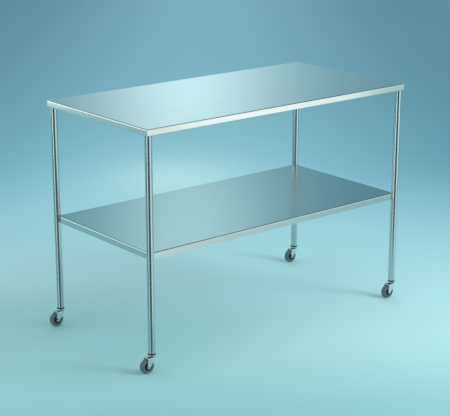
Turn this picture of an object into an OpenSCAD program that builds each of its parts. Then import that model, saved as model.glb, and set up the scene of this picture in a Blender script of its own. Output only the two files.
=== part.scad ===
// Instrument table: a folded steel worktop and lower shelf on four tube legs with swivel casters.
// Millimetres, +Z up. The origin is on the floor, at the middle of the box that the part fills.
// X runs along the length, Y towards the rear. The casters trail towards -X.

/* [Worktop] */
// Length of the worktop
top_l = 1219; // [900:1:1850]
// Depth of the worktop
top_w = 610; // [480:1:800]
// Height of the worktop above the floor
top_h = 864; // [700:1:1000]
// Drop of the worktop's turned-down edge
top_edge = 24; // [20:1:40]
// Thickness of the folded sheet
sheet = 1.5; // [1:0.1:2]
// Outside radius of the sheet's long bends
bend_r = 4; // [3:0.5:6]
// Radius to which the corner welds are ground
corner_r = 1.5; // [0.5:0.25:2.5]
// Width of the flange that returns inwards under each edge
return_w = 12; // [6:1:20]

/* [Shelf] */
// Height of the shelf's deck above the floor
shelf_h = 430; // [250:1:600]
// Drop of the shelf's turned-down edge
shelf_edge = 24; // [20:1:40]
// Gap between a leg and the shelf's coped corner
cope_gap = 0.1; // [0.05:0.05:0.5]

/* [Stiffeners] */
// Distance between the two hat channels under a sheet
hat_spacing = 220; // [160:1:280]
// Width of the flat face of a hat channel
hat_w = 40; // [25:1:60]
// Depth of a hat channel
hat_h = 16; // [10:0.5:18]
// Width of each spot-welded flange of a hat channel
hat_flange = 14; // [8:1:20]
// Sheet thickness of a hat channel
hat_t = 1.2; // [0.8:0.1:1.5]
// Distance from a sheet's end to the end of its hat channels
hat_end = 90; // [80:1:150]

/* [Legs] */
// Outside diameter of the leg tube
leg_d = 25.4; // [22:0.1:32]
// Wall of the leg tube
leg_wall = 1.5; // [1.2:0.1:2]
// Gap between a leg and the inside of the worktop's edge
leg_gap = 1.8; // [1:0.1:6]
// Side of the corner gusset that holds a leg
gusset = 62; // [50:1:75]
// Thickness of the corner gusset
gusset_t = 3; // [2:0.5:4]
// Length of the spigot that goes up inside a leg
spigot_l = 32; // [20:1:50]
// Gap round a plug or spigot inside a leg
plug_gap = 0.1; // [0.05:0.05:0.25]

/* [Wheels] */
// Diameter of a caster wheel over its tyre
wheel_d = 50.8; // [46:0.1:60]
// Width of the tyre
tyre_w = 20; // [16:0.5:20.5]
// Depth of the tyre's rubber
tyre_t = 9.4; // [7:0.1:11]
// Radius of the tyre's rounded shoulders
shoulder_r = 4; // [2:0.5:5]
// Distance from the swivel axis back to the axle
trail = 21; // [20:0.5:26]
// Width of the hub's boss
boss_w = 22.4; // [21.5:0.1:22.6]
// Diameter of the hub's boss
boss_d = 14; // [12:0.5:16]
// Thickness of the web between the hub's boss and rim
web_t = 5; // [3:0.5:8]
// Wall of the hub's rim, under the tyre
rim_t = 2.6; // [2:0.1:3]
// Radius of the axle bolt
axle_r = 3; // [2.5:0.1:3.5]
// Wall of the steel bush that the hub turns on
bush_t = 1.2; // [0.8:0.1:1.5]
// Running gap between two round parts
running_gap = 0.06; // [0.03:0.01:0.09]

/* [Fork] */
// Sheet thickness of the fork
fork_t = 2; // [1.5:0.1:2.5]
// Free width between the fork's cheeks
fork_gap = 23; // [23:0.1:25]
// Outside radius of the fork's bends
fork_bend = 3.5; // [3:0.5:5]
// Gap between the tyre and the underside of the crown
crown_gap = 4; // [3.6:0.1:9]
// Slope of the hood behind the crown, in degrees
hood_slope = 5; // [3:0.5:10]
// Length of the hood behind the crown
hood_l = 11; // [9:0.5:14]
// Depth of the hood's side skirts
hood_skirt = 6; // [4:0.5:9]
// Radius of the cheek's round end at the axle
cheek_r = 7; // [6:0.5:9]
// How far the cheek reaches ahead of the swivel axis at the crown
cheek_front = 7; // [3:0.5:8]

/* [Swivel head] */
// Radius of the kingpin inside the head
pin_r = 4; // [3.5:0.1:4.5]
// Radius of the stem that goes up into the leg
stem_r = 5.55; // [5:0.05:6.5]
// Length of the stem above the leg's lower end
stem_l = 30; // [24:1:40]
// Radius of the polished race cap
cap_r = 16; // [15:0.25:20]
// Height of the race cap
cap_h = 5; // [4:0.1:7]
// Height of the ball gap between the race cap and the crown
ball_gap = 3; // [2.5:0.1:4]
// Clearance under what doesn't turn with the fork
swivel_gap = 0.3; // [0.2:0.05:0.4]
// Radius of the circle of balls
ball_ring = 9; // [8:0.1:9.3]
// Number of balls in each head
balls = 12; // [8:1:13]
// Thickness of the rubber dust seal round the balls
seal_t = 1.6; // [1:0.1:1.8]
// Radius of the dust seal
seal_r = 13; // [12.8:0.1:13.4]
// Thickness of the washer on the kingpin under the crown
washer_t = 1.2; // [0.8:0.1:1.5]
// Radius of that washer
washer_r = 8.5; // [7:0.25:9]
// Radius of the kingpin's riveted head
rivet_r = 6; // [5.2:0.1:6.5]
// Height of the kingpin's riveted head
rivet_h = 2.2; // [1.5:0.1:3]

/* [Leg socket] */
// Height of the black collar between a leg and its caster
collar_h = 4.4; // [3:0.1:7]
// How far the collar stands out past the leg
collar_lip = 1; // [0:0.1:2]
// Height of the split ring that grips the stem in its socket
grip_h = 3; // [2:0.25:5]
// Thickness of the split ring
grip_t = 0.5; // [0.4:0.05:0.7]

/* [Axle bolt] */
// Radius of the axle bolt's domed head
head_r = 5; // [4.5:0.1:6]
// Height of the axle bolt's domed head
head_h = 2.4; // [1.8:0.1:3]
// Width of the axle nut across its flats
nut_w = 10; // [9:0.1:11]
// Thickness of the axle nut
nut_h = 4; // [3:0.1:5]
// How far the bolt's end stands out of the nut
bolt_end = 1; // [0.5:0.1:2]

/* [Hidden] */
$fn = 64;
CORNERS = [["front_left", -1, -1], ["front_right", 1, -1],
           ["rear_left", -1, 1], ["rear_right", 1, 1]];
CORNER_PARTS = ["leg", "leg_gusset", "caster_socket", "kingpin", "race_cap", "fork",
                "axle_bolt", "axle_nut", "axle_bush", "wheel_hub", "tyre"];
NODES = concat(
    ["tabletop", "shelf", "top_stiffener_front", "top_stiffener_rear",
     "shelf_stiffener_front", "shelf_stiffener_rear",
     "swivel_balls", "dust_seals", "kingpin_washers", "grip_rings"],
    [for (part = CORNER_PARTS, corner = CORNERS) str(part, "_", corner[0])]);
node = "all";

overcut = 1;                               // how far a cutting shape runs past what it cuts
leg_r = leg_d / 2;
leg_bore_r = leg_r - leg_wall;
leg_inset = sheet + leg_gap + leg_r;       // from the worktop's outer faces to a leg's axis
leg_x = top_l / 2 - leg_inset;
leg_y = top_w / 2 - leg_inset;
fork_w = fork_gap + 2 * fork_t;
crown_r = fork_w / 2;

// Heights above the floor, from the wheel up to the leg
axle_z = wheel_d / 2;
crown_under = wheel_d + crown_gap;
crown_top = crown_under + fork_t;
cap_z = crown_top + ball_gap;
collar_z = cap_z + cap_h;
leg_z = collar_z + collar_h;
leg_top = top_h - sheet - gusset_t;
washer_z = crown_under - swivel_gap - washer_t;

// The casters trail past the worktop's end, so the middle of the part's box lies off the table's middle
frame_x = max(0, trail + wheel_d / 2 - leg_inset) / 2;

function wanted(name) = node == "all" || node == name;

// Point where the line from p touches the circle round c, on the side that side (1 or -1) gives
function tangent_point(p, c, r, side) =
    let (d = p - c, a = atan2(d[1], d[0]) + side * acos(r / norm(d))) c + r * [cos(a), sin(a)];

module at_leg(corner) translate([frame_x + corner[1] * leg_x, corner[2] * leg_y, 0]) children();
module at_every_leg() for (corner = CORNERS) at_leg(corner) children();
// Turns a copy that was drawn for the rear right corner to face another corner
module facing(corner) mirror([corner[1] < 0 ? 1 : 0, 0, 0]) mirror([0, corner[2] < 0 ? 1 : 0, 0]) children();
module along_x(l) rotate([90, 0, 90]) translate([0, 0, -l / 2]) linear_extrude(l) children();
module along_y(l) rotate([90, 0, 0]) translate([0, 0, -l / 2]) linear_extrude(l) children();
module tube(r, bore_r, h) difference() {
    cylinder(r = r, h = h);
    translate([0, 0, -overcut]) cylinder(r = bore_r, h = h + 2 * overcut);
}

// Section of a part folded down on both sides: flat on top, round at the bends, open below
module folded_section(w, top, r, low = 0) {
    translate([-w / 2, low]) square([w, top - r - low]);
    translate([r - w / 2, low]) square([w - 2 * r, top - low]);
    for (s = [-1, 1]) translate([s * (w / 2 - r), top - r]) circle(r = r);
}

// Rectangle with round corners
module round_plan(l, w, r) {
    square([l - 2 * r, w], center = true);
    square([l, w - 2 * r], center = true);
    for (sx = [-1, 1], sy = [-1, 1]) translate([sx * (l / 2 - r), sy * (w / 2 - r)]) circle(r = r);
}

// A sheet with its four edges turned down and returned inwards, its deck at height z
module folded_pan(l, w, edge, z) translate([0, 0, z - edge]) {
    difference() {
        intersection() {
            along_x(l) folded_section(w, edge, bend_r);
            along_y(w) folded_section(l, edge, bend_r);
            linear_extrude(edge) round_plan(l, w, corner_r);
        }
        intersection() {
            along_x(l - 2 * sheet) folded_section(w - 2 * sheet, edge - sheet, bend_r - sheet, -overcut);
            along_y(w - 2 * sheet) folded_section(l - 2 * sheet, edge - sheet, bend_r - sheet, -overcut);
        }
    }
    difference() {
        translate([-l / 2 + sheet / 2, -w / 2 + sheet / 2, 0]) cube([l - sheet, w - sheet, sheet]);
        translate([-l / 2 + sheet + return_w, -w / 2 + sheet + return_w, -overcut])
            cube([l - 2 * (sheet + return_w), w - 2 * (sheet + return_w), sheet + 2 * overcut]);
    }
}

// The worktop, with its return flanges notched away round the legs
module tabletop() color("lightsteelblue") translate([frame_x, 0, 0]) difference() {
    folded_pan(top_l, top_w, top_edge, top_h);
    notch = leg_gap + 2 * leg_r + leg_gap;
    for (sx = [-1, 1], sy = [-1, 1])
        translate([sx * (top_l / 2 - sheet - notch / 2), sy * (top_w / 2 - sheet - notch / 2),
                   top_h - top_edge + sheet / 2])
            cube([notch, notch, sheet + overcut], center = true);
}

// The shelf spans the legs' axes, and each corner is coped to fit round its leg
module shelf() color("lightsteelblue") difference() {
    translate([frame_x, 0, 0]) folded_pan(2 * leg_x, 2 * leg_y, shelf_edge, shelf_h);
    at_every_leg() translate([0, 0, shelf_h - shelf_edge - overcut])
        cylinder(r = leg_r + cope_gap, h = shelf_edge + 2 * overcut);
}

// A hat channel of length l under a deck whose underside is at height z, s is its side of the middle
module hat_channel(l, z, s) color("silver")
    translate([frame_x, s * hat_spacing / 2, z - hat_h]) along_x(l) {
        translate([-hat_w / 2, 0]) square([hat_w, hat_t]);
        for (side = [-1, 1]) {
            translate([side * (hat_w - hat_t) / 2 - hat_t / 2, 0]) square([hat_t, hat_h]);
            translate([side * (hat_w + hat_flange - hat_t) / 2 - hat_flange / 2, hat_h - hat_t])
                square([hat_flange, hat_t]);
        }
    }
module top_stiffener(s) hat_channel(top_l - 2 * hat_end, top_h - sheet, s);
module shelf_stiffener(s) hat_channel(2 * leg_x - 2 * hat_end, shelf_h - sheet, s);

// Corner plate welded under the worktop, with the spigot that a leg slides over
module leg_gusset() color("silver") {
    out = leg_inset - bend_r;              // from the leg's axis out to the plate's outer edges
    back = gusset - bend_r - out;          // and in to its far edges
    cut = gusset / 3;
    translate([0, 0, leg_top]) linear_extrude(gusset_t)
        polygon([[out, out], [-back, out], [-back, out - cut], [out - cut, -back], [out, -back]]);
    translate([0, 0, leg_top - spigot_l])
        tube(leg_bore_r - plug_gap, leg_bore_r - plug_gap - leg_wall, spigot_l + gusset_t / 2);
}

module leg() color("gainsboro") translate([0, 0, leg_z]) tube(leg_r, leg_bore_r, leg_top - leg_z);

// Black plug in the leg's lower end, whose collar parts the leg from the caster
module caster_socket() color([0.06, 0.06, 0.07]) difference() {
    union() {
        translate([0, 0, collar_z]) cylinder(r = leg_r + collar_lip, h = collar_h);
        translate([0, 0, leg_z]) cylinder(r = leg_bore_r - plug_gap, h = stem_l + 2 * grip_h);
    }
    translate([0, 0, collar_z - overcut])
        cylinder(r = stem_r + running_gap, h = collar_h + stem_l + 2 * grip_h + 2 * overcut);
}

// Stem, kingpin and riveted head in one turned piece, with a groove for the split grip ring
module kingpin() color("silver") rotate_extrude() polygon([
    [0, washer_z - rivet_h], [rivet_r - 1, washer_z - rivet_h], [rivet_r, washer_z - rivet_h + 1],
    [rivet_r, washer_z], [pin_r, washer_z], [pin_r, collar_z], [stem_r, collar_z],
    [stem_r, leg_z + stem_l - 2 * grip_h], [stem_r - grip_t, leg_z + stem_l - 2 * grip_h],
    [stem_r - grip_t, leg_z + stem_l - grip_h], [stem_r, leg_z + stem_l - grip_h],
    [stem_r, leg_z + stem_l - grip_t], [stem_r - 2 * grip_t, leg_z + stem_l + grip_t],
    [0, leg_z + stem_l + grip_t]]);

module grip_rings() color("dimgray") at_every_leg() translate([0, 0, leg_z + stem_l - 2 * grip_h])
    difference() {
        tube(stem_r, stem_r - grip_t + running_gap, grip_h);
        translate([0, -grip_h / 2 + grip_t, -overcut]) cube([stem_r + overcut, 2 * grip_t, grip_h + 2 * overcut]);
    }

// Polished cap over the ball race: round rim, sloping shoulder, flat top under the collar
module race_cap() color("gainsboro") translate([0, 0, cap_z]) difference() {
    rim = cap_h / 4;
    rotate_extrude() {
        translate([cap_r - rim, rim]) circle(r = rim);
        polygon([[pin_r + running_gap, 0], [cap_r - rim, 0], [cap_r - rim / 4, 1.6 * rim],
                 [leg_r + collar_lip / 2, cap_h], [pin_r + running_gap, cap_h]]);
    }
    rotate_extrude() translate([ball_ring, swivel_gap - ball_gap / 2]) circle(r = ball_gap / 2 + running_gap);
}

module swivel_balls() color("silver") at_every_leg() for (i = [0 : balls - 1])
    rotate([0, 0, 360 / balls * i]) translate([ball_ring, 0, cap_z + swivel_gap - ball_gap / 2])
        sphere(d = ball_gap);

module dust_seals() color([0.05, 0.05, 0.05]) at_every_leg() translate([0, 0, crown_top + swivel_gap])
    tube(seal_r, seal_r - seal_t, ball_gap - swivel_gap);

module kingpin_washers() color("silver") at_every_leg() translate([0, 0, washer_z])
    tube(washer_r, pin_r + running_gap, washer_t);

// Side view of the flat crown and the cheeks, which narrow down to a round end at the axle
module cheek_outline() {
    axle = [-trail, axle_z];
    front = [cheek_front, crown_under];
    hood = hood_l - fork_t / 2;
    rear = [-crown_r - hood * cos(hood_slope), crown_top - hood * sin(hood_slope)];
    translate(axle) circle(r = cheek_r);
    polygon([[crown_r, crown_under], [crown_r, crown_top], [-crown_r, crown_top], rear,
             tangent_point(rear, axle, cheek_r, 1), axle,
             tangent_point(front, axle, cheek_r, -1), front]);
}

// Inverted channel that the fork's sheet is folded into
module fork_channel(l) difference() {
    along_x(l) folded_section(fork_w, crown_top, fork_bend);
    along_x(l + 2 * overcut) folded_section(fork_gap, crown_under, fork_bend - fork_t, -overcut);
}

// Hood over the tyre: the same channel, tilted down behind the crown
module fork_hood() translate([-crown_r, 0, crown_top]) rotate([0, -hood_slope, 0])
    translate([0, 0, -crown_top]) intersection() {
        fork_channel(2 * hood_l);
        along_y(fork_w + 2 * overcut) polygon([
            [fork_t / 2, crown_top], [-hood_l, crown_top], [-hood_l, crown_top - hood_skirt / 2],
            [-hood_l + hood_skirt / 2, crown_top - hood_skirt], [fork_t / 2, crown_top - hood_skirt]]);
    }

module fork() color("silver") difference() {
    union() {
        intersection() {
            fork_channel(4 * trail);
            along_y(fork_w + 2 * overcut) cheek_outline();
            union() {
                cylinder(r = crown_r, h = crown_top + overcut);
                translate([-2 * trail, -crown_r, 0]) cube([2 * trail, fork_w, crown_top + overcut]);
            }
        }
        fork_hood();
    }
    translate([0, 0, crown_under - overcut]) cylinder(r = pin_r + running_gap, h = fork_t + 2 * overcut);
    translate([-trail, 0, axle_z]) rotate([90, 0, 0])
        cylinder(r = axle_r + running_gap, h = fork_w + 2 * overcut, center = true);
}

// What sits on the axle is drawn along Z and then laid along Y at the axle
module on_axle() translate([-trail, 0, axle_z]) rotate([90, 0, 0]) children();
// Turns the bolts of the rear casters round, so that every head faces out from the table
module head_out(corner) mirror([0, corner[2] > 0 ? 1 : 0, 0]) children();

// Domed head against the outer cheek, plain shank, end standing out of the nut on the inner one
module axle_bolt() color("silver") on_axle() rotate_extrude() polygon([
    [0, -crown_r - nut_h - bolt_end], [axle_r - bolt_end / 2, -crown_r - nut_h - bolt_end],
    [axle_r, -crown_r - nut_h - bolt_end / 2], [axle_r, crown_r], [head_r, crown_r],
    [head_r, crown_r + head_h / 3], [0.8 * head_r, crown_r + 0.75 * head_h],
    [0.45 * head_r, crown_r + head_h], [0, crown_r + head_h]]);

module axle_nut() color("silver") on_axle() translate([0, 0, -crown_r - nut_h]) difference() {
    linear_extrude(nut_h) circle(d = nut_w / cos(30), $fn = 6);
    translate([0, 0, -overcut]) cylinder(r = axle_r + running_gap / 2, h = nut_h + 2 * overcut);
}

module axle_bush() color("silver") on_axle() translate([0, 0, -fork_gap / 2])
    tube(axle_r + running_gap + bush_t, axle_r + running_gap, fork_gap);

// Section of the hub: boss and rim joined by a thin web
module hub_section() {
    bore = axle_r + running_gap + bush_t + running_gap;
    rim_r = wheel_d / 2 - tyre_t;
    translate([bore, -boss_w / 2]) square([boss_d / 2 - bore, boss_w]);
    translate([bore, -web_t / 2]) square([rim_r - rim_t / 2 - bore, web_t]);
    translate([rim_r - rim_t, -tyre_w / 2 + 1]) square([rim_t, tyre_w - 2]);
}
module wheel_hub() color([0.09, 0.09, 0.1]) on_axle() rotate_extrude() hub_section();

// Tyre with a flat tread and rounded shoulders
module tyre() color([0.42, 0.45, 0.48]) on_axle() rotate_extrude() {
    rim_r = wheel_d / 2 - tyre_t;
    translate([rim_r, -tyre_w / 2]) square([tyre_t - shoulder_r, tyre_w]);
    translate([rim_r, shoulder_r - tyre_w / 2]) square([tyre_t, tyre_w - 2 * shoulder_r]);
    for (s = [-1, 1]) translate([wheel_d / 2 - shoulder_r, s * (tyre_w / 2 - shoulder_r)]) circle(r = shoulder_r);
}

if (wanted("tabletop")) tabletop();
if (wanted("shelf")) shelf();
if (wanted("top_stiffener_front")) top_stiffener(-1);
if (wanted("top_stiffener_rear")) top_stiffener(1);
if (wanted("shelf_stiffener_front")) shelf_stiffener(-1);
if (wanted("shelf_stiffener_rear")) shelf_stiffener(1);
if (wanted("swivel_balls")) swivel_balls();
if (wanted("dust_seals")) dust_seals();
if (wanted("kingpin_washers")) kingpin_washers();
if (wanted("grip_rings")) grip_rings();
for (corner = CORNERS) {
    if (wanted(str("leg_", corner[0]))) at_leg(corner) leg();
    if (wanted(str("leg_gusset_", corner[0]))) at_leg(corner) facing(corner) leg_gusset();
    if (wanted(str("caster_socket_", corner[0]))) at_leg(corner) caster_socket();
    if (wanted(str("kingpin_", corner[0]))) at_leg(corner) kingpin();
    if (wanted(str("race_cap_", corner[0]))) at_leg(corner) race_cap();
    if (wanted(str("fork_", corner[0]))) at_leg(corner) fork();
    if (wanted(str("axle_bolt_", corner[0]))) at_leg(corner) head_out(corner) axle_bolt();
    if (wanted(str("axle_nut_", corner[0]))) at_leg(corner) head_out(corner) axle_nut();
    if (wanted(str("axle_bush_", corner[0]))) at_leg(corner) axle_bush();
    if (wanted(str("wheel_hub_", corner[0]))) at_leg(corner) wheel_hub();
    if (wanted(str("tyre_", corner[0]))) at_leg(corner) tyre();
}
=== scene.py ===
import math

import bmesh
import bpy
import numpy as np
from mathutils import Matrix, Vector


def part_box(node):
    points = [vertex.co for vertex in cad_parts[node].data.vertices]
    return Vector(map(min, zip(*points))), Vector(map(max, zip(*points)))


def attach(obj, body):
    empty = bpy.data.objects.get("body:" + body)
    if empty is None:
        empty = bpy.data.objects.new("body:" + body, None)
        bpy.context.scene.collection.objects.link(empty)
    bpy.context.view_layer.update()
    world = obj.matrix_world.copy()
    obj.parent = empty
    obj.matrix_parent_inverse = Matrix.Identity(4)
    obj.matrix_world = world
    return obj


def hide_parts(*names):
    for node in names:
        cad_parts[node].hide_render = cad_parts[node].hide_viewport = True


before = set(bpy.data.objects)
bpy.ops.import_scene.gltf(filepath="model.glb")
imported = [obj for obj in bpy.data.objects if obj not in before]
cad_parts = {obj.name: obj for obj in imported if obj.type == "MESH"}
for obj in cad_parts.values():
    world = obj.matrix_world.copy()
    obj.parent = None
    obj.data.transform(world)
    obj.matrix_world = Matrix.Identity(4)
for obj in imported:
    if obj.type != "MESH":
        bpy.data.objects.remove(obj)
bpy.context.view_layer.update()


# Camera. It stands off the table's near left corner and looks down across the worktop. The lens
# isn't shifted, so the legs converge a little where the photograph's stay parallel.
camera_place = (-3.108, -3.768, 1.863)
yaw, pitch = 39.4, 16.5
film_width, focal_length, far_limit = 36, 107.1, 200
eye = bpy.data.cameras.new("camera")
eye.sensor_width = film_width
eye.lens = focal_length
eye.clip_end = far_limit
camera = bpy.data.objects.new("camera", eye)
camera.location = camera_place
camera.rotation_euler = (math.radians(90 - pitch), 0, math.radians(-yaw))
bpy.context.collection.objects.link(camera)
bpy.context.scene.camera = camera
bpy.context.scene.view_settings.view_transform = "Standard"


# Floor. One wide sheet of matt paper whose colour carries painted light: pale blue-green round the
# table, painted shade at the near front and near left, a painted pool of light left of the middle,
# and painted falloff to deep blue behind it and at the sides. Away from the casters reflections
# see through it, so that the legs mirror the room below them too.
class Value:
    """A number that a material's nodes work out. Arithmetic on it adds Math nodes."""

    def __init__(self, finish, socket):
        self.finish = finish
        self.socket = socket

    def math(self, operation, first, second=0.0):
        return self.finish.node("ShaderNodeMath", {"operation": operation}, {0: first, 1: second})

    def __add__(self, other):
        return self.math("ADD", self, other)

    def __radd__(self, other):
        return self.math("ADD", other, self)

    def __sub__(self, other):
        return self.math("SUBTRACT", self, other)

    def __rsub__(self, other):
        return self.math("SUBTRACT", other, self)

    def __mul__(self, other):
        return self.math("MULTIPLY", self, other)

    def __rmul__(self, other):
        return self.math("MULTIPLY", other, self)

    def __truediv__(self, other):
        return self.math("DIVIDE", self, other)

    def __rtruediv__(self, other):
        return self.math("DIVIDE", other, self)

    def __pow__(self, other):
        return self.math("POWER", self, other)

    def __abs__(self):
        return self.math("ABSOLUTE", self)

    def most(self, other):
        """The larger of the two."""
        return self.math("MAXIMUM", self, other)

    def step(self, low, high):
        """0 at low, 1 at high and a smooth curve between; low may be the larger one."""
        return self.finish.node("ShaderNodeMapRange", {"interpolation_type": "SMOOTHSTEP"},
                                {"Value": self, "From Min": low, "From Max": high})


class Finish:
    """Builds one material or world: plain numbers are set on its shader, worked-out ones linked."""

    def __init__(self, holder, shader, **fixed):
        holder.use_nodes = True
        self.holder = holder
        self.tree = holder.node_tree
        self.shader = self.tree.nodes[shader]
        self.set(**fixed)

    def fill(self, socket, value):
        """Links a Value to the socket, or sets a plain number or colour on it."""
        if isinstance(value, Value):
            self.tree.links.new(value.socket, socket)
        elif socket.type == "RGBA":
            socket.default_value = (*value, 1)
        else:
            socket.default_value = value

    def node(self, kind, settings, inputs, output=0):
        """Adds a node of this kind, makes its settings, then fills or links its sockets."""
        made = self.tree.nodes.new(kind)
        for setting, value in settings.items():
            setattr(made, setting, value)
        for key, value in inputs.items():
            self.fill(made.inputs[key], value)
        return Value(self, made.outputs[output])

    def set(self, **values):
        """Sets the shader's own sockets, with Base_Color standing for Base Color."""
        for key, value in values.items():
            self.fill(self.shader.inputs[key.replace("_", " ")], value)

    def place(self, scale=(1, 1, 1), offset=(0, 0, 0)):
        """Position on the object in metres, stretched by scale after the offset is added."""
        start = self.node("ShaderNodeTexCoord", {}, {}, "Object")
        moved = self.node("ShaderNodeMapping", {}, {"Vector": start, "Location": offset})
        return self.node("ShaderNodeMapping", {}, {"Vector": moved, "Scale": scale})

    def axes(self, place):
        """The x, y and z of a position."""
        split = self.node("ShaderNodeSeparateXYZ", {}, {"Vector": place}).socket.node
        return [Value(self, output) for output in split.outputs]

    def noise(self, place, scale=1.0, detail=3.0, roughness=0.55):
        """Cloudy noise, mostly 0.3 to 0.7."""
        return self.node("ShaderNodeTexNoise", {},
                         {"Vector": place, "Scale": scale, "Detail": detail, "Roughness": roughness})

    def blend(self, share, first, second):
        """A colour that goes from first to second as share goes from 0 to 1."""
        return self.node("ShaderNodeMix", {"data_type": "RGBA"}, {0: share, 6: first, 7: second}, 2)

    def bump(self, height, depth):
        """A normal for a relief whose height goes from 0 to 1 over this many metres."""
        return self.node("ShaderNodeBump", {}, {"Height": height, "Distance": depth})


def material(name, **fixed):
    """A new surface finish with these fixed values."""
    return Finish(bpy.data.materials.new(name), "Principled BSDF", **fixed)


def towards(heading, east, north):
    """How far a place lies towards this heading, in degrees clockwise from +Y. For a direction
    of length 1 it is the cosine of the angle between the two."""
    turn = math.radians(heading)
    return east * math.sin(turn) + north * math.cos(turn)


def stage_piece(name, points, finish):
    """A flat four-sided piece of the stage."""
    mesh = bpy.data.meshes.new(name)
    mesh.from_pydata(points, [], [(0, 1, 2, 3)])
    mesh.materials.append(finish.holder)
    made = bpy.data.objects.new(name, mesh)
    bpy.context.collection.objects.link(made)
    return made


floor_size = 60
# The paper's colours: lit paper, painted shade near the front, and painted falloff far off and at the sides.
lit_paper = (0.355, 0.635, 0.65)
shaded_near_paper = (0.205, 0.455, 0.47)
far_paper = (0.175, 0.45, 0.54)
side_paper = (0.075, 0.27, 0.375)
pool_side, pool_ahead, pool_width, pool_length, pool_light = -0.27, 1.93, 0.54, 0.68, 1.09
left_shade, mottle = 0.79, 0.04
open_heading = 240
paper = material("studio_paper", Roughness=0.9)
east, north, _ = paper.axes(paper.place())
distance = (east * east + north * north) ** 0.5
sideways = towards(yaw + 90, east, north)
ahead = towards(yaw, east, north)
cloud = paper.noise(paper.place(), 1.3, 2)
# Painted shade on the paper at the near left and along the near front.
left = sideways.step(0.5, -0.5) * ahead.step(0.5, -0.2) * left_shade
front = paper.blend(ahead.step(-0.18, -1.1).most(left), lit_paper, shaded_near_paper)
# Painted falloff: the paper darkens towards the sides and far away.
painted_falloff = abs(sideways + 0.2).step(0.0, 2.0).most(distance.step(9, 18))
behind = paper.blend(painted_falloff, far_paper, side_paper)
# A painted pool of light on the paper behind the table, left of the middle.
pool_x, pool_y = (sideways - pool_side) / pool_width, (ahead - pool_ahead) / pool_length
pool = 1 / (pool_x * pool_x + pool_y * pool_y + 1)
shade = ahead.step(-0.4, 2.5) * (1 - pool * pool * pool_light) + (cloud - 0.5) * mottle
shade = shade.most(distance.step(2.5, 8.0))
paper.set(Base_Color=paper.blend(shade, front, behind))

clear_of_casters = distance.step(0.75, 0.95).most(east.step(-0.60, -0.66))
open_floor = towards(open_heading, east, north).step(-0.1, 0.15) * clear_of_casters
open_floor = open_floor.most(north.step(-0.75, -0.95))
reflected = paper.node("ShaderNodeLightPath", {}, {}, "Is Glossy Ray")
solid = Value(paper, paper.shader.outputs[0])
clear = paper.node("ShaderNodeBsdfTransparent", {}, {})
cut = paper.node("ShaderNodeMixShader", {}, {0: open_floor * reflected, 1: solid, 2: clear})
paper.fill(paper.tree.nodes["Material Output"].inputs["Surface"], cut)
half = floor_size / 2
stage_piece("studio_floor", [(-half, -half, 0), (half, -half, 0), (half, half, 0), (-half, half, 0)], paper)


# Lamps. A wide soft one hangs overhead, weaker ones fill in from the left, the side and low in
# front, and a key lamp off the near right corner lays the faint shadows on the paper. The key
# isn't mirrored, because it would burn a white patch into the steel.
def lamp(name, place, target, size, watts, spread=180):
    """A soft rectangular lamp of size (width, height) that faces the target, and whose light
    fans out over this many degrees."""
    light = bpy.data.lights.new(name, "AREA")
    light.shape = "RECTANGLE"
    light.size, light.size_y = size
    light.energy = watts
    light.spread = math.radians(spread)
    made = bpy.data.objects.new(name, light)
    made.location = place
    aim = np.array(target) - np.array(place)
    made.rotation_euler = (math.atan2(math.hypot(aim[0], aim[1]), -aim[2]), 0,
                           math.atan2(aim[1], aim[0]) - math.pi / 2)
    made.visible_camera = False
    bpy.context.collection.objects.link(made)
    return made


lamp("overhead_lamp", (0.2, 0.3, 4.2), (0, 0, 0), (4, 4), 30)
lamp("left_lamp", (-4.6, -0.3, 1.8), (0, 0, 0.3), (2.4, 2.4), 14)
lamp("side_lamp", (-2.7, 2.5, 0.75), (0, 0, 0.75), (1.8, 1.1), 2.6, 110)
lamp("front_lamp", (2.0, -2.6, 0.55), (0, -0.3, 0.6), (1.1, 1.0), 0.5, 110)
key = lamp("key_lamp", (2.6, -3.6, 2.6), (0, -0.5, 0), (1.6, 1.6), 33, 90)
key.visible_glossy = False


# Glow card. It stands behind the table and only reflections see it: brightest left of the middle
# and at the height that the worktop mirrors, so that the deck fades to its right end.
card_reach, card_half, card_foot, card_height = 1.9, 2.6, 0.01, 1.9
glow_side, glow_width = -0.2, 0.68
glow_edge, glow_middle = (0.11, 0.32, 0.40), (0.90, 1.28, 1.32)
glow = material("glow_card", Roughness=1.0, Specular_IOR_Level=0.0, Base_Color=(0, 0, 0),
                Emission_Strength=1.0)
east, north, up = glow.axes(glow.place())
beside = (towards(yaw + 90, east, north) - glow_side) / glow_width
bell = 1 / (beside * beside + 1)
glow.set(Emission_Color=glow.blend(bell * bell * up.step(0.1, 1.45), glow_edge, glow_middle))
turn = math.radians(yaw)
centre = np.array([math.sin(turn), math.cos(turn)]) * card_reach
across = np.array([math.cos(turn), -math.sin(turn)]) * card_half
left_foot, right_foot = centre - across, centre + across
card = stage_piece("glow_card", [(*left_foot, card_foot), (*right_foot, card_foot),
                                 (*right_foot, card_height), (*left_foot, card_height)], glow)
card.visible_camera = card.visible_diffuse = card.visible_shadow = False
card.visible_transmission = card.visible_volume_scatter = False


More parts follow.
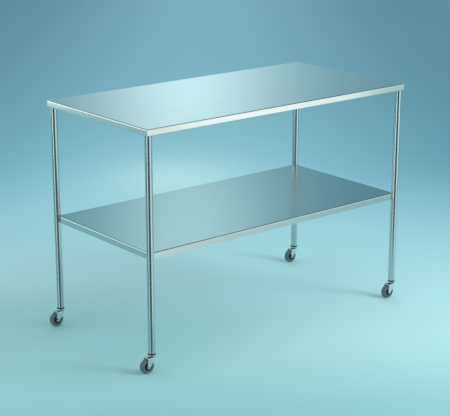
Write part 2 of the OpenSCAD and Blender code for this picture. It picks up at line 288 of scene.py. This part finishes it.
# Room. Only reflections see its walls: a dark ceiling, two pale screens, two dim stretches, a
# bright window, and a pale front below the horizon. They give the steel its streaks. Other rays
# find an even fill, and the camera the same blue as the floor's far end.
room_color = (0.33, 0.62, 0.65)
room_beyond = (0.138, 0.288, 0.366)
room_dim = (0.05, 0.09, 0.095)
room_ceiling = (0.06, 0.11, 0.125)
room_window = (2.1, 2.25, 2.25)
room_screen = (1.12, 1.18, 1.18)
room_front = (1.03, 1.16, 1.13)
fill_low = (1.28, 1.31, 1.32)
fill_high = (0.38, 0.39, 0.40)
front_heading, window_heading = 160, 254
screen_headings, left_dim, far_dim = (140, 326), 212, 290
room = Finish(bpy.data.worlds.new("room"), "Background", Strength=1.0)
bpy.context.scene.world = room.holder
east, north, up = room.axes(room.node("ShaderNodeTexCoord", {}, {}, "Generated"))
walls = room.blend(up.step(0.26, 0.36), room_color, room_ceiling)
pale_front = towards(front_heading, east, north).step(0.84, 0.94) * up.step(0.05, -0.05)
walls = room.blend(pale_front, walls, room_front)
screens = [towards(heading, east, north).step(0.62, 0.72) for heading in screen_headings]
screens = screens[0].most(screens[1]) * up.step(-0.04, 0.06) * up.step(0.56, 0.48)
walls = room.blend(screens, walls, room_screen)
dim = towards(left_dim, east, north).step(0.76, 0.86).most(towards(far_dim, east, north).step(0.90, 0.96))
walls = room.blend(dim * up.step(0.2, 0.1), walls, room_dim)
window = towards(window_heading, east, north).step(0.955, 0.985) * up.step(0.1, 0.0)
walls = room.blend(window, walls, room_window)
fill = room.blend(up.step(0.65, 0.9), fill_low, fill_high)
seen, mirrored = [room.node("ShaderNodeLightPath", {}, {}, kind)
                  for kind in ("Is Camera Ray", "Is Glossy Ray")]
room.set(Color=room.blend(seen, room.blend(mirrored, fill, walls), room_beyond))


# Worktop. One sheet of stainless steel, folded down 24 mm on its four edges and in again below,
# its corners welded and ground. The sheet is satin ground along its length.
mm = 0.001


def middle_of(node):
    """The middle of a CAD node's box in millimetres."""
    low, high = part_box(node)
    return [(low[i] + high[i]) / 2 / mm for i in range(3)]


def laid(grids, centre):
    """Grids in millimetres about this centre, as metres in the frame."""
    return [(grid + np.array(centre)) * mm for grid in grids]


def weave_faces(rows, columns, first):
    """Quads between neighbouring points of a grid of rows by columns, numbered from first."""
    number = first + np.arange(rows * columns).reshape(rows, columns)
    around = [number[:-1, :-1], number[1:, :-1], number[1:, 1:], number[:-1, 1:]]
    return np.stack(around, axis=-1).reshape(-1, 4)


def piece(name, grids, body, finish, sharp=30):
    """Joins grids of points (rows, columns, xyz) into one closed piece. Points that meet are
    merged, faces turned outwards, and edges that turn by more than sharp degrees kept hard."""
    points = np.concatenate([grid.reshape(-1, 3) for grid in grids])
    firsts = np.cumsum([0] + [grid.shape[0] * grid.shape[1] for grid in grids])
    faces = np.concatenate([weave_faces(*grid.shape[:2], first) for grid, first in zip(grids, firsts)])
    mesh = bpy.data.meshes.new(name)
    mesh.from_pydata(points.tolist(), [], faces.tolist())
    shell = bmesh.new()
    shell.from_mesh(mesh)
    bmesh.ops.remove_doubles(shell, verts=shell.verts, dist=2e-6)
    bmesh.ops.dissolve_degenerate(shell, edges=shell.edges, dist=1e-7)
    bmesh.ops.recalc_face_normals(shell, faces=shell.faces)
    for edge in shell.edges:
        edge.smooth = edge.calc_face_angle(0) < math.radians(sharp)
    for face in shell.faces:
        face.smooth = True
    shell.to_mesh(mesh)
    shell.free()
    mesh.materials.append(finish.holder)
    made = bpy.data.objects.new(name, mesh)
    bpy.context.collection.objects.link(made)
    weigh = made.modifiers.new("even_shading", "WEIGHTED_NORMAL")
    weigh.keep_sharp = True
    weigh.weight = 100
    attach(made, body)
    return made


def arc(start, end, count):
    """Angles in degrees as radians, evenly from start to end."""
    return np.radians(np.linspace(start, end, count + 1))


def folded_edge(drop, sheet, bend, fold, reach):
    """Section of a folded edge as (inset, depth, share) rows: from the flat of the deck over a bend,
    down the apron, round the fold, in along the return flange, and back inside the sheet. The
    share says how much of the return's width is added to the inset, so that it can be notched."""
    turn = arc(0, 90, 8)
    over = [bend * (1 - np.sin(turn)), bend * (1 - np.cos(turn))]
    under = [fold * (1 - np.sin(turn)), drop - fold * (1 - np.cos(turn))]
    inner, inner_fold = bend - sheet, fold - sheet
    over_in = [bend - inner * np.sin(turn), bend - inner * np.cos(turn)]
    under_in = [fold - inner_fold * np.sin(turn), drop - fold + inner_fold * np.cos(turn)]
    tip = [np.full(2, fold), np.array([drop, drop - sheet])]
    inset = np.concatenate([over[0], under[0][::-1], tip[0], under_in[0], over_in[0][::-1]])
    depth = np.concatenate([over[1], under[1][::-1], tip[1], under_in[1], over_in[1][::-1]])
    face_side = np.zeros(2 * turn.size)
    share = np.concatenate([face_side, np.ones(2), face_side])
    return inset, depth, share * reach


def folded_sheet(length, depth, top, drop, sheet, bend, fold, reach, corner, notch):
    """A deck with folded edges, as grids of points in millimetres about the deck's middle. The
    section of the edge is carried round a rectangle: a point at inset d of the section lies on
    the rectangle made smaller by d on each side, whose corners have radius corner less d. The
    return flange stops at the notch, over a slant, and the ground weld dips in at the corner."""
    slant, weld_dip, corner_steps, long_stops, short_stops = 0.6, 0.8, 6, 61, 31
    inset, sunk, reach_in = folded_edge(drop, sheet, bend, fold, reach)
    half = np.array([length / 2, depth / 2])
    stops = [np.unique(np.concatenate([np.linspace(bend - h, h - bend, n),
                                       [notch - h, notch + slant - h, h - notch - slant, h - notch]]))
             for h, n in zip(half, (long_stops, short_stops))]
    groove = np.ones((corner_steps + 1, 1))
    groove[corner_steps // 2] = weld_dip
    loop = []
    for turn, side in enumerate([(1, -1), (1, 1), (-1, 1), (-1, -1)]):
        swing = arc(turn * 90 - 90, turn * 90, corner_steps)[:, None]
        radius = np.maximum(corner - inset, 0) * groove
        centre = (half[:, None] - np.maximum(inset, corner)) * np.array(side)[:, None]
        loop.append(np.stack([centre[0] + radius * np.cos(swing), centre[1] + radius * np.sin(swing)], -1))
        along = turn % 2 == 0
        run = stops[1 if along else 0][1:-1] * (1 if turn in (0, 3) else -1)
        edge_half = half[0 if along else 1]
        full = (np.abs(run) < half[1 if along else 0] - notch - slant / 2)[:, None]
        out = (edge_half - inset - reach_in * full) * (1 if turn in (0, 1) else -1)
        run = np.broadcast_to(run[:, None], out.shape)
        loop.append(np.stack([out, run] if along else [run, out], -1))
    ring = np.concatenate(loop + [loop[0][:1]])
    edge = np.concatenate([ring, np.broadcast_to(top - sunk, ring.shape[:2])[..., None]], -1)
    flat = np.stack(np.meshgrid(stops[0], stops[1], indexing="ij"), -1)
    deck, back = [np.concatenate([flat, np.full(flat.shape[:2] + (1,), z)], -1)
                  for z in (top, top - sheet)]
    return [edge, deck, back]


def satin_steel(name, tone, shade, roughness, folds=None):
    """Satin stainless sheet. Its grain is fine noise drawn out along x, with faint clouds and
    wiping marks across it. A folded sheet also gives its half length, its top and the tone of
    its folds: its end aprons are ground along y, and below its top its colour is blended towards
    the tone of the folds. There it is also smoother, because its bends and aprons were dressed once more
    after folding."""
    steel = material(name, Metallic=1.0)
    lines = steel.noise(steel.place((3, 900, 900)), 1.0, 3, 0.6)
    wave = steel.noise(steel.place((1, 1.6, 1.6)), 2.6, 1, 0.4)
    cloud = steel.noise(steel.place((1, 2, 2)), 4.0, 4, 0.6)
    smear = steel.noise(steel.place((5, 9, 9), (0.3, 0.2, 0)), 2.0, 3, 0.6).step(0.52, 0.75)
    if folds:
        half_length, top, fold_tone = folds
        x, _, z = steel.axes(steel.place())
        on_end = abs(x - middle_x * mm).step(half_length - 0.002, half_length - 0.001)
        lines = lines * (1 - on_end) + steel.noise(steel.place((900, 3, 900)), 1.0, 3, 0.6) * on_end
    color = steel.blend(lines * 0.7 + cloud * 0.5 - 0.1, shade, tone)
    rough = (cloud - 0.5) * 0.06 + (lines - 0.5) * 0.10 + smear * 0.015 + roughness
    if folds:
        folded = z.step(top - 0.0003, top - 0.0010)
        color = steel.blend(folded * 0.8, color, fold_tone)
        rough = rough - folded * 0.13
    steel.set(Base_Color=color, Roughness=rough, Normal=steel.bump(lines * 0.02 + wave, 0.0008))
    return steel


top_length, top_depth, top_height, edge_drop = 1219, 610, 864, 24
sheet, bend, fold, flange, corner_radius, leg_notch = 1.5, 4, 2.6, 10.9, 1.5, 30.8
middle_x = middle_of("tabletop")[0]
worktop_steel = satin_steel("worktop_steel", (0.65, 0.70, 0.705), (0.55, 0.605, 0.615), 0.25,
                            (top_length / 2 * mm, top_height * mm, (0.65, 0.685, 0.665)))
top_grids = folded_sheet(top_length, top_depth, top_height, edge_drop,
                         sheet, bend, fold, flange, corner_radius, leg_notch)
worktop = piece("worktop_sheet", laid(top_grids, (middle_x, 0, 0)), "table", worktop_steel)
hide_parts("tabletop")


# Shelf. The same kind of folded sheet, a little smaller, its corners coped to the legs' round.
# Under both sheets run hat-shaped channels, spot welded, and thick gussets stiffen the worktop's
# corners. These are out of sight and keep the mill's duller finish.
corners = ("front_left", "front_right", "rear_left", "rear_right")
shelf_length, shelf_top, shelf_drop, shelf_bend = 1187, 430, 24, 4


def by_corner(*parts):
    """The names of these parts at all four corners."""
    return [f"{part}_{corner}" for part in parts for corner in corners]


def dress(finish, *nodes):
    """Gives CAD nodes a finish."""
    for node in nodes:
        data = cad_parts[node].data
        data.materials.clear()
        data.materials.append(finish.holder)


# The shelf's steel is a darker, bluer copy of the worktop's: painted shade from the worktop above and a
# painted reflection of the blue-green paper. Its folds keep a lighter tone than its deck.
shelf_steel = satin_steel("shelf_steel", (0.44, 0.545, 0.555), (0.37, 0.46, 0.475), 0.24,
                          (shelf_length / 2 * mm, shelf_top * mm, (0.55, 0.635, 0.635)))
dress(shelf_steel, "shelf")
channel_steel = satin_steel("folded_steel", (0.56, 0.58, 0.59), (0.46, 0.48, 0.49), 0.36)
dress(channel_steel, "top_stiffener_front", "top_stiffener_rear", "shelf_stiffener_front",
      "shelf_stiffener_rear", *by_corner("leg_gusset"))


# Legs. Four lengths of one inch stainless tube, drawn and polished along their length. Each is
# slipped over the spigot of its gusset and welded there.
tube = material("tube_steel", Metallic=1.0, Anisotropic=0.85, Anisotropic_Rotation=0.25)
draw = tube.noise(tube.place((260, 260, 1.5)), 1.0, 4, 0.65)
spot = tube.noise(tube.place((9, 9, 3)), 2.0, 3)
tube.set(Base_Color=tube.blend(draw, (0.46, 0.55, 0.56), (0.58, 0.68, 0.69)),
         Roughness=(draw - 0.5) * 0.08 + (spot - 0.5) * 0.05 + 0.19,
         Normal=tube.bump(draw, 0.00004))
dress(tube, *by_corner("leg"))


# Shelf welds. At each leg one bead of filler runs up the end of an apron, round the coped corner
# of the deck and down the end of the other apron, and fixes the shelf to the tube.
def swept(path, sides, radius, outward):
    """A bead: circles of the given radius, one row for each point of the path, that stand
    across the path. A row's first direction is its outward vector and its second is that vector
    crossed with the path's direction. The bead closes where the given radius falls to nothing."""
    along = np.gradient(path, axis=0)
    along /= np.linalg.norm(along, axis=1, keepdims=True)
    across = np.cross(along, outward)
    turn = arc(0, 360, sides)[None, :, None]
    rim = np.cos(turn) * outward[:, None] + np.sin(turn) * across[:, None]
    return path[:, None] + rim * radius[:, None, None]


def grained(name, scale, detail, dark, light, roughness, swing, relief=0.0, **fixed):
    """A finish that follows one fine noise: its colour goes from dark to light, its roughness
    swings by this much about its middle, and its relief is this many metres high."""
    finish = material(name, **fixed)
    grain = finish.noise(finish.place((scale, scale, scale)), 1.0, detail)
    finish.set(Base_Color=finish.blend(grain, dark, light), Roughness=(grain - 0.5) * swing + roughness)
    if relief:
        finish.set(Normal=finish.bump(grain, relief))
    return finish


leg_radius = 12.7
bead_radius, bead_stand, bead_start = 1.3, 0.1, 0.8
ripple_length, ripple_share = 0.9, 0.07
climb_points, round_steps, bead_sides = 60, 90, 12


def weld_path(corner):
    """The middle line of one bead and the direction from the leg's axis at each of its points:
    up the end of one apron, round the cope as high as the deck and its bends are there, and down
    the end of the other apron."""
    in_x, in_y = (1 if "left" in corner else -1), (1 if "front" in corner else -1)
    climb = np.linspace(shelf_top - shelf_drop + bead_start, shelf_top - shelf_bend, climb_points)
    swing = arc(0, 90, round_steps)
    inset = (leg_radius * np.minimum(np.sin(swing), np.cos(swing))).clip(0, shelf_bend)
    drop = shelf_bend - np.sqrt(shelf_bend ** 2 - (shelf_bend - inset) ** 2)
    angle = np.concatenate([np.zeros(climb_points), swing[1:-1], np.full(climb_points, math.pi / 2)])
    height = np.concatenate([climb, (shelf_top - drop)[1:-1], climb[::-1]])
    out = np.stack([in_x * np.cos(angle), in_y * np.sin(angle), np.zeros_like(angle)], -1)
    path = out * (leg_radius + bead_stand) + np.array(middle_of("leg_" + corner))
    path[:, 2] = height
    return path, out


weld = grained("weld_bead", 700, 3, (0.34, 0.35, 0.36), (0.62, 0.63, 0.62), 0.34, 0.2, 0.0001, Metallic=1.0)
for corner in corners:
    path, out = weld_path(corner)
    travel = np.concatenate([[0], np.cumsum(np.linalg.norm(np.diff(path, axis=0), axis=1))])
    ends = np.minimum(travel, travel[-1] - travel).clip(0, bead_radius)
    thick = np.sqrt(bead_radius ** 2 - (bead_radius - ends) ** 2)
    thick = thick * (1 + ripple_share * np.sin(2 * np.pi * travel / ripple_length))
    piece("shelf_weld_" + corner, [swept(path, bead_sides, thick, out) * mm], "table",
          weld, 60)


# Casters, from the leg down. Black moulded sockets close the legs, and a polished cap covers the
# ball race of each swivel head. Both are turned shapes about the leg's axis.
def turned(outline, centre, axis, segments=96):
    """A turned shape: each (height, radius) row of the outline is carried round the axis, "z" or
    "y", as a circle about the centre at that height. The outline closes on itself or on the axis."""
    height, radius = np.array(outline, float).T
    turn = arc(0, 360, segments)[:, None]
    round_a, round_b = radius * np.cos(turn), radius * np.sin(turn)
    height = np.broadcast_to(height, round_a.shape)
    order = [round_a, round_b, height] if axis == "z" else [round_a, height, round_b]
    return (np.stack(order, -1) + np.array(centre)) * mm


def rounded(height, radius, size, start, end, count=6):
    """Rows of (height, radius) round an arc of this size about a point of the outline, whose angle
    is measured from the direction of growing radius towards growing height."""
    return [(height + size * math.sin(a), radius + size * math.cos(a)) for a in arc(start, end, count)]


socket = grained("socket_plastic", 900, 3, (0.004, 0.006, 0.006), (0.012, 0.015, 0.015), 0.42, 0.2,
                 0.00005, IOR=1.5, Specular_IOR_Level=0.25)
dress(socket, *by_corner("caster_socket"))

chrome = material("caster_chrome", Metallic=1.0)
grain = chrome.noise(chrome.place((160, 160, 160)), 1.0, 4)
pits = chrome.noise(chrome.place((1500, 1500, 1500)), 1.0, 2)
chrome.set(Base_Color=chrome.blend(grain, (0.68, 0.72, 0.73), (0.82, 0.84, 0.85)),
           Roughness=(grain - 0.5) * 0.10 + (pits - 0.5) * 0.06 + 0.21, Normal=chrome.bump(grain, 0.00006))

cap_low, cap_high, cap_radius, cap_neck, cap_bore = 59.8, 64.8, 16.0, 13.2, 4.06
cap_lip, lip_height, shoulder_height, shoulder_width = 0.9, 2.4, 1.9, 1.2
outline = [(cap_low, cap_bore), (cap_low, cap_radius - cap_lip)]
outline += rounded(cap_low + cap_lip, cap_radius - cap_lip, cap_lip, -90, 60)
outline += rounded(cap_low + 2.5, cap_radius - 1.35, 0.55, -60, -90, 4)[::-1]
outline += [(cap_low + lip_height, cap_radius - 1.6)]
outline += [(cap_low + lip_height + shoulder_height * math.sin(a), cap_neck + shoulder_width * math.cos(a))
            for a in arc(0, 70, 8)]
outline += [(cap_high, cap_neck - 0.6), (cap_high, cap_bore), (cap_low, cap_bore)]
for corner in corners:
    x, y, _ = middle_of("race_cap_" + corner)
    cap = piece("race_cap_shell_" + corner, [turned(outline, (x, y, 0), "z")], "table",
                chrome, 35)
    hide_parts("race_cap_" + corner)


# Swivel bearings. A dark rubber dust seal, bright balls and a riveted kingpin with its washer
# show only in the gap under the cap and inside the fork. The kingpin and its washer are zinc
# plated, and so are the stem's grip ring and the wheel's bush.
zinc = grained("zinc_plate", 400, 4, (0.55, 0.57, 0.58), (0.70, 0.72, 0.73), 0.3, 0.15, 0.00005, Metallic=1.0)
dress(zinc, "kingpin_washers", "grip_rings", *by_corner("kingpin", "axle_bush"))
ball = grained("ball_steel", 500, 2, (0.70, 0.72, 0.73), (0.76, 0.77, 0.78), 0.12, 0.06, Metallic=1.0)
dress(ball, "swivel_balls")
seal = grained("seal_rubber", 700, 3, (0.018, 0.026, 0.029), (0.038, 0.048, 0.052), 0.6, 0.2, IOR=1.5)
dress(seal, "dust_seals")


# Forks. Each is pressed from one 2 mm steel blank and chromed: a crown, round in front and drawn
# back into a short hood, whose sides turn down into cheeks that taper to round ends at the axle.
crown_top, plate, outer_width, fold_radius = 56.8, 2.0, 27.0, 3.5
axle_x, axle_height, cheek_end = -21.0, 25.4, 7.0
front_x, hood_x, hood_start, hood_fall = 7.0, -24.46, -13.5, math.tan(math.radians(5))
hood_drop, hood_fade = 3, 6


def touching(point, centre, radius, side):
    """Where the straight line from the point touches the circle, on its side 1 or -1."""
    away = np.array(point) - np.array(centre)
    angle = math.atan2(away[1], away[0]) + side * math.acos(radius / math.hypot(*away))
    return centre[0] + radius * math.cos(angle), centre[1] + radius * math.sin(angle)


def fork_face(inward):
    """One face of the fork, this far inside its outer face, as a grid about the leg's axis. Rows
    go over the section from one cheek's end, up over the fold, across the crown and down again.
    Columns go from the rear edge to the front edge, whose x depends on the row's height: a
    straight line down to where it touches the round end at the axle, and that circle below it.
    On the crown the front edge is a circle about the leg's axis. The hood falls behind it."""
    round_rows, straight_rows, fold_rows, crown_rows, columns = 26, 22, 10, 9, 25
    half, bend = outer_width / 2 - inward, fold_radius - inward
    top = crown_top - inward
    fold_height = crown_top - fold_radius
    front_top, rear_top = (front_x, fold_height), (hood_x, fold_height - hood_drop)
    front_touch = touching(front_top, (axle_x, axle_height), cheek_end, -1)
    rear_touch = touching(rear_top, (axle_x, axle_height), cheek_end, 1)
    round_z = axle_height - cheek_end * np.cos(np.linspace(0, 1, round_rows) * math.pi / 1.8)
    straight_z = np.linspace(round_z[-1], fold_height, straight_rows)[1:]
    z = np.concatenate([round_z, straight_z])
    dip = np.sqrt((cheek_end ** 2 - (z - axle_height) ** 2).clip(0))
    on_front = np.interp(z, [front_touch[1], fold_height], [front_touch[0], front_x])
    on_rear = np.interp(z, [rear_touch[1], rear_top[1], fold_height], [rear_touch[0], hood_x, hood_x])
    front = np.where(z < front_touch[1], axle_x + dip, on_front)
    rear = np.where(z < rear_touch[1], axle_x - dip, on_rear)
    turn = arc(0, 90, fold_rows)[1:]
    fold_y, fold_z = half - bend + bend * np.cos(turn), top - bend + bend * np.sin(turn)
    across = np.linspace(half - bend, 0, crown_rows)[1:]
    crown_y = np.concatenate([outer_width / 2 - fold_radius + fold_radius * np.cos(turn), across])
    circle = np.sqrt((outer_width / 2) ** 2 - crown_y ** 2)
    blend = np.concatenate([np.sin(turn), np.ones(across.size)]) ** 2
    crown_front = front_x * (1 - blend) + circle * blend
    y = np.concatenate([np.full(z.size, half), fold_y, across])
    z = np.concatenate([z, fold_z, np.full(across.size, top)])
    front = np.concatenate([front, crown_front])
    rear = np.concatenate([rear, np.full(crown_y.size, hood_x)])
    x = rear[:, None] + (front - rear)[:, None] * np.linspace(0, 1, columns)
    y, z = np.broadcast_to(y[:, None], x.shape), np.broadcast_to(z[:, None], x.shape)
    high = ((z - fold_height) / hood_fade + 1).clip(0, 1)
    z = z - hood_fall * (hood_start - x).clip(0) * high
    face = np.stack([x, y, z], -1)
    return np.concatenate([face, face[-2::-1] * np.array([1, -1, 1])])


def rim_between(face, back):
    """The four narrow strips that join the borders of two faces of a plate."""
    pairs = [(face[:, 0], back[:, 0]), (face[:, -1], back[:, -1]),
             (face[0], back[0]), (face[-1], back[-1])]
    return [np.stack(pair, 0) for pair in pairs]


def soften(pressed, width, angle):
    """Rounds those edges of a pressed piece that turn by more than this angle."""
    bevel = pressed.modifiers.new("rounded_edges", "BEVEL")
    bevel.width = width * mm
    bevel.segments = 2
    bevel.limit_method = "ANGLE"
    bevel.angle_limit = math.radians(angle)
    pressed.modifiers.move(len(pressed.modifiers) - 1, 0)


face, back = fork_face(0), fork_face(plate)
fork_grids = [face, back] + rim_between(face, back)
for corner in corners:
    x, y, _ = middle_of("kingpin_" + corner)
    fork = piece("fork_shell_" + corner, laid(fork_grids, (x, y, 0)), "swivel_" + corner,
                 chrome, 40)
    soften(fork, 0.35, 50)
    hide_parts("fork_" + corner)


# Axle bolts. The domed head lies against the outer cheek, and a chamfered hexagon nut closes
# the bolt on the inner one.
head_height, head_radius, head_brim, shank, stub = 2.4, 5.0, 0.6, 3.0, 1.0
nut_flats, nut_height = 10.0, 4.0
cheek_face = outer_width / 2
head = [(cheek_face, 0), (cheek_face, head_radius - 0.2), (cheek_face + 0.2, head_radius)]
head += [(cheek_face + head_brim + (head_height - head_brim) * math.sin(a), head_radius * math.cos(a))
         for a in arc(0, 62, 9)]
head += [(cheek_face + 2.2, 1.6), (cheek_face + 1.5, 1.5), (cheek_face + 1.5, 0)]
nut_end = -cheek_face - nut_height
tail = [(nut_end + 0.3, 0), (nut_end + 0.3, shank - 0.05), (nut_end - stub + 0.5, shank - 0.05),
        (nut_end - stub, shank - 0.6), (nut_end - stub, 0)]


def hexagon_nut(side):
    """A nut as (turn, height) grids: the distance from the axis is that of the hexagon at that
    turn, or that of the chamfer's cone where it is less. Height runs outwards from the cheek."""
    turn = arc(0, 360, 96)[:, None]
    flat = nut_flats / 2 / np.cos((turn + math.pi / 6) % (math.pi / 3) - math.pi / 6)
    height = np.array([0, 0.15, 0.3, 0.5, 0.7, 2, 3.3, 3.5, 3.7, 3.85, 4.0])
    ends = np.minimum(height, nut_height - height)
    far = np.minimum(flat, nut_flats / 2 * 0.96 + ends * 1.7)
    height = np.broadcast_to(height, far.shape)
    wall = np.stack([far * np.cos(turn), -side * (cheek_face + height), far * np.sin(turn)], -1)
    bore = shank + 0.03
    hole = np.stack([bore * np.cos(turn), -side * cheek_face * np.ones_like(turn), bore * np.sin(turn)], -1)
    hole_far = hole + np.array([0, -side * nut_height, 0])
    return [wall, np.concatenate([wall[:, :1], hole], 1), np.concatenate([wall[:, -1:], hole_far], 1),
            np.concatenate([hole, hole_far], 1)]


for corner in corners:
    x, y, _ = middle_of("tyre_" + corner)
    side = -1 if "front" in corner else 1
    centre = (x, y, axle_height)
    grids = [turned([(side * h, r) for h, r in part], centre, "y", 48) for part in (head, tail)]
    bolt = piece("axle_bolt_head_" + corner, grids, "swivel_" + corner, zinc, 35)
    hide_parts("axle_bolt_" + corner)
    nut = piece("axle_nut_hexagon_" + corner, laid(hexagon_nut(side), centre), "swivel_" + corner,
                zinc, 25)
    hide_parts("axle_nut_" + corner)


# Wheels. A grey rubber tyre, with its mould line round the tread and a raised ring on each side,
# is pressed on a black moulded hub, whose web is set back between the rim and the boss.
def both_sides(half_outline):
    """A closed outline from its half at heights below 0."""
    return half_outline + [(-h, r) for h, r in half_outline[::-1]] + [half_outline[0]]


tyre_radius, tyre_half, seat, shoulder = 25.4, 10.0, 16.0, 4.0
half_tyre = [(-tyre_half + 0.6, seat), (-tyre_half + 0.2, seat + 0.3), (-tyre_half, seat + 0.9),
             (-tyre_half, 18.3), (-tyre_half + 0.12, 18.6), (-tyre_half + 0.5, 18.8),
             (-tyre_half + 0.55, 19.3), (-tyre_half + 0.2, 19.7), (-tyre_half, 20.1)]
half_tyre += rounded(shoulder - tyre_half, tyre_radius - shoulder, shoulder - 0.15, -90, 0, 12)
half_tyre += [(-0.7, tyre_radius - 0.1), (-0.35, tyre_radius)]
hub_half, web_half, rim_inner, boss_half, boss_radius, hub_bore = 9.0, 2.5, 13.4, 11.2, 7.0, 4.32
hollow = 2
half_hub = [(-boss_half, hub_bore)] + rounded(-boss_half + 0.5, boss_radius - 0.5, 0.5, -90, 0, 4)
half_hub += rounded(-web_half - hollow, boss_radius + hollow, hollow, 180, 90)
half_hub += rounded(-web_half - hollow, rim_inner - hollow, hollow, 90, 0)
half_hub += rounded(-hub_half + 0.6, rim_inner + 0.6, 0.6, 180, 270, 4)
half_hub += rounded(-hub_half + 0.3, seat - 0.32, 0.3, -90, 0, 3)

hub = grained("hub_plastic", 800, 3, (0.006, 0.010, 0.012), (0.015, 0.023, 0.026), 0.4, 0.2, 0.00006, IOR=1.5)
rubber = material("tyre_rubber", IOR=1.5, Specular_IOR_Level=0.35)
grain = rubber.noise(rubber.place((600, 600, 600)), 1.0, 4)
dust = rubber.noise(rubber.place((60, 60, 60)), 1.0, 4)
rubber.set(Base_Color=rubber.blend(grain * 0.4 + dust * 0.6, (0.045, 0.084, 0.091), (0.088, 0.152, 0.164)),
           Roughness=(grain - 0.5) * 0.2 + (dust - 0.5) * 0.1 + 0.6, Normal=rubber.bump(grain, 0.00008))
for corner in corners:
    centre = middle_of("tyre_" + corner)
    tyre = piece("tyre_moulded_" + corner, [turned(both_sides(half_tyre), centre, "y", 128)],
                 "wheel_" + corner, rubber, 35)
    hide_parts("tyre_" + corner)
    wheel = piece("wheel_hub_moulded_" + corner, [turned(both_sides(half_hub), centre, "y")],
                  "wheel_" + corner, hub, 35)
    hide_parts("wheel_hub_" + corner)
